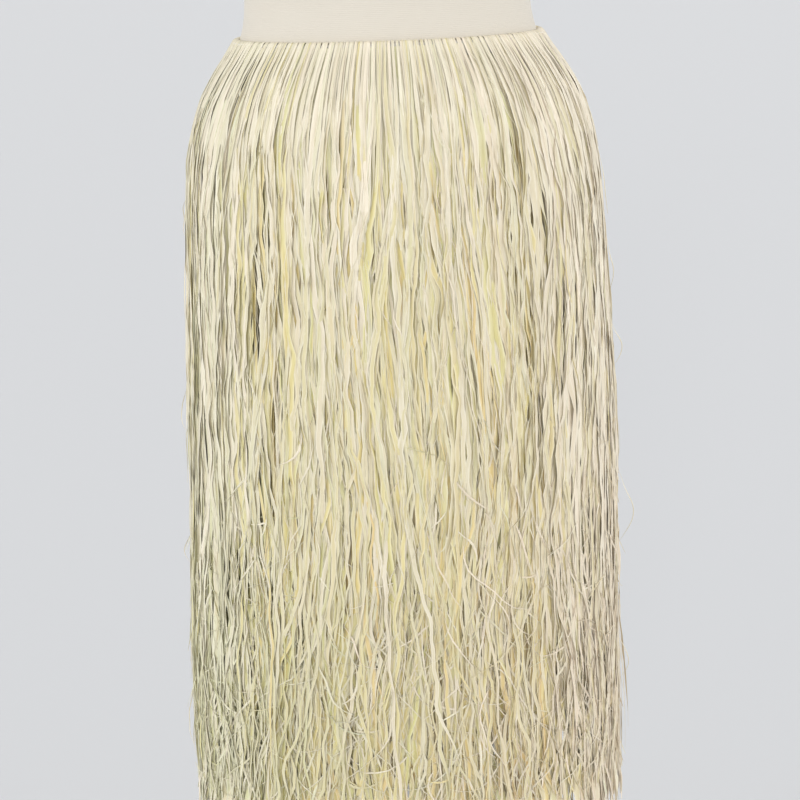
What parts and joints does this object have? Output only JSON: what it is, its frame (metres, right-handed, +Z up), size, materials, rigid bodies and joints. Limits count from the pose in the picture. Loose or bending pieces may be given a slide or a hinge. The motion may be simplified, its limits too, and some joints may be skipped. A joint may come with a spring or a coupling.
{
  "type": "raffia grass skirt on dress form",
  "caption": "Long raffia grass skirt: strands folded over a waist elastic, in two falls, worn by a limbless dress form on a round stand.",
  "frame": {"origin": "on the floor, under the middle of the round base plate", "axes": "+Z up along the pole, the front of the skirt faces -Y, +X is on the viewer's right when looking at the front"},
  "size_m": [0.4085, 0.36, 1.5443],
  "materials": {
    "raffia": "natural bleached raffia, satin",
    "inner_raffia": "natural raffia, unbleached, matt",
    "elastic": "woven elastic, matt",
    "jersey": "fine cream jersey, matt",
    "beech": "clear satin lacquer",
    "white_paint": "off-white powder coat",
    "steel": "fine brushed"
  },
  "bodies": {
    "root": {"waist_elastic": "elastic", "strand_heads": "raffia", "outer_fall": "raffia", "inner_fall": "inner_raffia", "form_torso": "jersey", "neck_cap": "beech", "pole_collar": "white_paint", "pole": "steel", "base_flange": "white_paint", "base_plate": "white_paint"}
  },
  "joints": []
}
